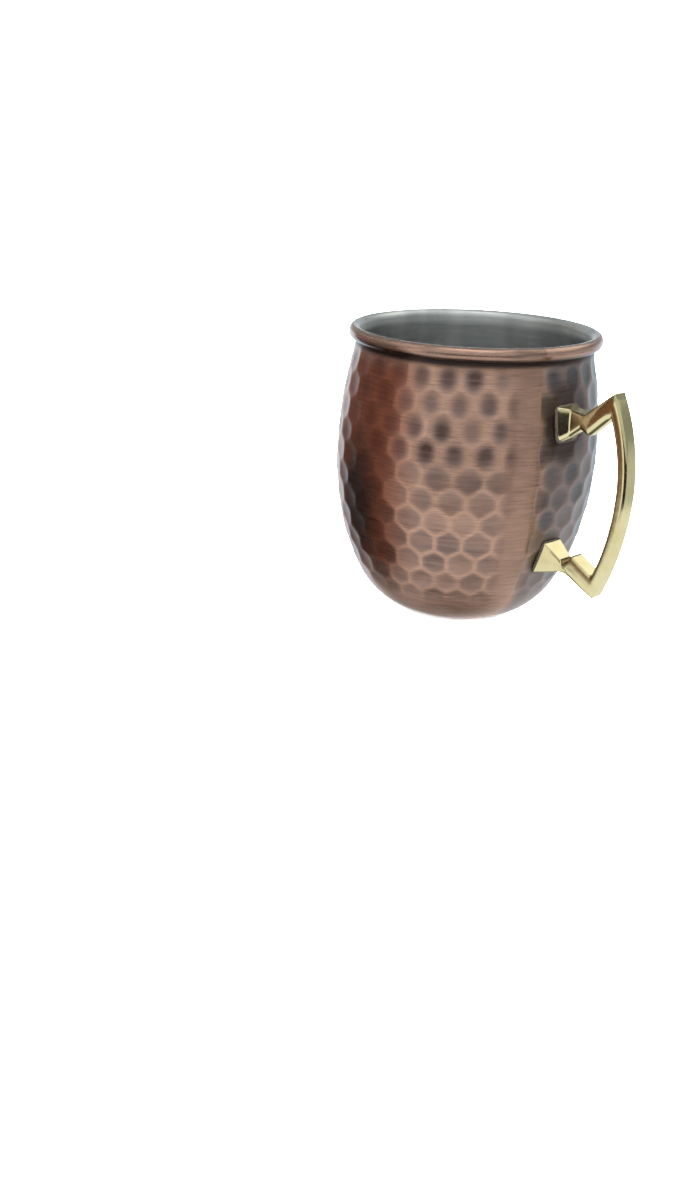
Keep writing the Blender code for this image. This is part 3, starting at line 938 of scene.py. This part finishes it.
# --------------------------------------------------------------------------------------------------
# The studio
# --------------------------------------------------------------------------------------------------


def make_floor():
    bpy.ops.mesh.primitive_plane_add(size=FLOOR_SIZE, location=(0.0, 0.0, 0.0))
    floor = bpy.context.object
    floor.name = "floor"
    nodes = MaterialNodes("pale_floor")
    grain = nodes.noise(nodes.object_place(), scale=40.0)
    nodes.set(Base_Color=nodes.mix(grain, colour(0.93, 0.93, 0.93), colour(0.9, 0.9, 0.9)), Roughness=0.7)
    floor.data.materials.append(nodes.material)
    floor.visible_glossy = False


def make_card(name, span, heights):
    """A curved card on the left that shows only as a reflection. Its right end is soft."""
    angles = np.linspace(*span, CARD_COLUMNS + 1) + STUDIO_FRONT
    ring = CARD_RADIUS * np.stack([np.cos(angles), np.sin(angles), np.zeros(len(angles))], axis=1)
    points = np.concatenate([ring + (0.0, 0.0, z) for z in heights])
    above = CARD_COLUMNS + 1
    faces = [(i, i + 1, above + i + 1, above + i) for i in range(CARD_COLUMNS)]
    card = mesh_piece(name, points, faces)
    from_right = (angles[-1] - angles) / (angles[-1] - angles[0])
    cover = smoothstep(0.0, CARD_SOFT_SHARE, from_right)
    add_attribute(card, "cover", np.concatenate([cover, cover]))
    card.data.materials.append(dark_red_card(name))
    card.visible_camera = False
    card.visible_diffuse = False
    card.visible_shadow = False


def dark_red_card(name):
    """Near black low down and dark red higher up, with an uneven change between them."""
    nodes = MaterialNodes(name)
    clouds = nodes.noise(nodes.object_place(), scale=25.0)
    uneven_height = nodes.math("ADD", nodes.height(), nodes.spread(clouds, 0.3, 0.7, -0.02, 0.02))
    rise = nodes.spread(uneven_height, 0.03, 0.085)
    tint = nodes.mix(rise, colour(*CARD_LOW_TINT), colour(*CARD_HIGH_TINT))
    nodes.set(Base_Color=tint, Roughness=0.8, Alpha=nodes.attribute("cover"))
    return nodes.material


def make_world():
    """White all round, but in reflections a studio with darker parts, placed by direction from the mug.

    turned is the angle round the mug from the studio's front, positive towards the handle, and raised is the
    angle above the horizon, both in radians.
    """
    world = bpy.data.worlds.new("studio")
    bpy.context.scene.world = world
    world.use_nodes = True
    nodes = Nodes(world.node_tree)
    direction = nodes.node("TexCoord", output="Generated")
    turn = {"Vector": direction, "Angle": -STUDIO_FRONT}
    rotated = nodes.node("VectorRotate", turn, rotation_type="Z_AXIS")
    ahead, across, up = nodes.node("SeparateXYZ", {0: rotated}).node.outputs
    turned = nodes.math("ARCTAN2", across, ahead)
    raised = nodes.math("ARCSINE", up)
    shade = colour(1.0, 1.0, 1.0)
    for turned_band, raised_band, tint in STUDIO_SHADES:
        mask = nodes.math("MULTIPLY", nodes.band(turned, *turned_band), nodes.band(raised, *raised_band))
        shade = nodes.mix(mask, shade, colour(*tint))
    reflected = nodes.node("LightPath", output="Is Glossy Ray")
    seen = nodes.mix(reflected, colour(WORLD_STRENGTH, WORLD_STRENGTH, WORLD_STRENGTH), shade)
    background = world.node_tree.nodes["Background"]
    nodes.put(background.inputs["Color"], seen)
    nodes.put(background.inputs["Strength"], 1.0)
    bpy.context.scene.view_settings.view_transform = "Standard"


def make_camera():
    data = bpy.data.cameras.new("camera")
    data.lens = CAMERA_LENS
    data.clip_start = 0.01
    camera = bpy.data.objects.new("camera", data)
    turn = (CAMERA_AIM - CAMERA_PLACE).to_track_quat("-Z", "Y").to_matrix()
    roll = Matrix.Rotation(CAMERA_ROLL, 3, "Z")
    camera.matrix_world = Matrix.Translation(CAMERA_PLACE) @ (turn @ roll).to_4x4()
    bpy.context.scene.collection.objects.link(camera)
    bpy.context.scene.camera = camera


def main():
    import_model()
    form = Form()
    make_camera()
    make_world()
    make_floor()
    make_card("card", HIGH_CARD_ANGLES, HIGH_CARD_HEIGHTS)
    make_card("low_card", LOW_CARD_ANGLES, LOW_CARD_HEIGHTS)
    copper = make_copper_shell(form)
    copper.data.materials.append(antique_copper())
    liner = make_steel_liner(form)
    liner.data.materials.append(brushed_steel())
    handle = make_handle(form)
    handle.data.materials.append(polished_brass())
    filler = braze_filler()
    upper = make_braze_seam(form, "upper_braze_seam", UPPER_FOOT, UPPER_FOOT_HALF_WIDTHS, "upper_braze")
    lower = make_braze_seam(form, "lower_braze_seam", LOWER_FOOT, LOWER_FOOT_HALF_WIDTHS, "lower_braze")
    for seam in (upper, lower):
        seam.data.materials.append(filler)
    for piece in (copper, liner, handle, upper, lower):
        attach(piece, "root")


main()
